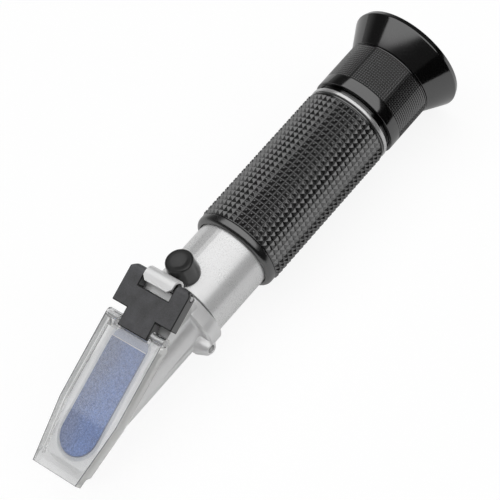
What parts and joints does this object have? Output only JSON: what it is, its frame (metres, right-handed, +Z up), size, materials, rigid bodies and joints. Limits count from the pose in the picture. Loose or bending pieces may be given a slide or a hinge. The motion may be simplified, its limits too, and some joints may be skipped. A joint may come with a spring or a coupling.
{
  "type": "handheld refractometer",
  "caption": "Handheld sugar refractometer: a sloping prism under a hinged clear plate, knurled rubber grip, capped calibration screw and focusing eyepiece with an eyecup.",
  "frame": {"origin": "below the middle of the whole object, on the level of the lowest point of the eyecup's rim", "axes": "+X along the tube from the prism end to the eyepiece, +Z up, on the side of the lid and the cap, +Y to the left of someone looking along +X"},
  "size_m": [0.174, 0.0388, 0.0392],
  "materials": {
    "satin_metal": "satin machined",
    "tube_metal": "satin machined",
    "prism_glass": "ground and polished, blue under the sheet",
    "seal_resin": "pale sealing resin, satin",
    "screw_steel": "turned",
    "grip_rubber": "moulded, matte, square pyramid knurl",
    "bright_trim": "polished",
    "brass": "turned",
    "cap_rubber": "moulded, satin",
    "black_metal": "blackened",
    "lens_glass": "polished",
    "spring_steel": "rolled strip",
    "bimetal": "rolled strip",
    "black_plastic": "moulded, glossy",
    "block_plastic": "moulded, matte dark grey",
    "clear_acrylic": "clear, polished edges",
    "frosted_sheet": "frosted, speckled",
    "seal_rubber": "greased"
  },
  "bodies": {
    "body": {"prism_housing": "satin_metal", "prism": "prism_glass", "prism_seal": "seal_resin", "side_screw_left": "screw_steel", "side_screw_right": "screw_steel", "main_tube": "tube_metal", "rubber_grip": "grip_rubber", "trim_ring": "bright_trim", "calibration_bush": "brass", "cell_spring": "spring_steel", "bimetal_strip": "bimetal", "light_baffle": "black_metal", "reticle_holder": "black_metal", "reticle_disc": "lens_glass", "reticle_lock_ring": "black_metal", "focus_thread_sleeve": "black_plastic", "barrel_key_screw": "screw_steel", "hinge_leaf": "satin_metal", "hinge_bush": "black_plastic", "leaf_rivet_left": "screw_steel", "leaf_rivet_right": "screw_steel"},
    "hinge_arm": {"hinge_block": "block_plastic", "hinge_pin": "screw_steel", "plate_pin": "screw_steel"},
    "lid_plate": {"daylight_plate": "clear_acrylic", "frosted_diffuser": "frosted_sheet"},
    "cap": {"calibration_cap": "cap_rubber"},
    "objective": {"lens_cell": "black_metal", "objective_lens": "lens_glass", "objective_lock_ring": "black_metal"},
    "adjuster": {"calibration_screw": "screw_steel"},
    "barrel": {"focus_barrel": "black_metal", "barrel_o_ring": "seal_rubber", "field_lens": "lens_glass", "lens_spacer": "black_metal", "eye_lens": "lens_glass", "eye_lens_lock_ring": "black_metal"},
    "eyepiece": {"focus_ring": "black_plastic", "eyecup": "black_plastic"}
  },
  "joints": [
    {"name": "lid_hinge", "type": "hinge", "parent": "body", "child": "hinge_arm", "pos_m": [-0.02788, 0, 0.0364], "axis": [0, 1, 0], "range_deg": [0, 120]},
    {"name": "plate_tilt", "type": "hinge", "parent": "hinge_arm", "child": "lid_plate", "pos_m": [-0.04178, 0, 0.0305], "axis": [0, 1, 0], "range_deg": [0, 16]},
    {"name": "cap_pull", "type": "slide", "parent": "body", "child": "cap", "axis": [0, 0, 1], "range_m": [0, 0.008]},
    {"name": "cell_shift", "type": "slide", "parent": "body", "child": "objective", "axis": [0, 0, 1], "range_m": [-0.00025, 0.00025]},
    {"name": "screw_turn", "type": "hinge", "parent": "objective", "child": "adjuster", "pos_m": [-0.01968, 0, 0.0324], "axis": [0, 0, 1], "range_deg": [-180, 180]},
    {"name": "focus_slide", "type": "slide", "parent": "body", "child": "barrel", "axis": [1, 0, 0], "range_m": [-0.0017, 0.0023]},
    {"name": "focus_turn", "type": "hinge", "parent": "barrel", "child": "eyepiece", "pos_m": [0.06882, 0, 0.0194], "axis": [1, 0, 0], "range_deg": [-153, 207]}
  ],
  "couplings": [
    {"joint": "screw_turn", "follows": "cell_shift", "rad_per_m": 12566},
    {"joint": "focus_turn", "follows": "focus_slide", "rad_per_m": 1570.8}
  ]
}
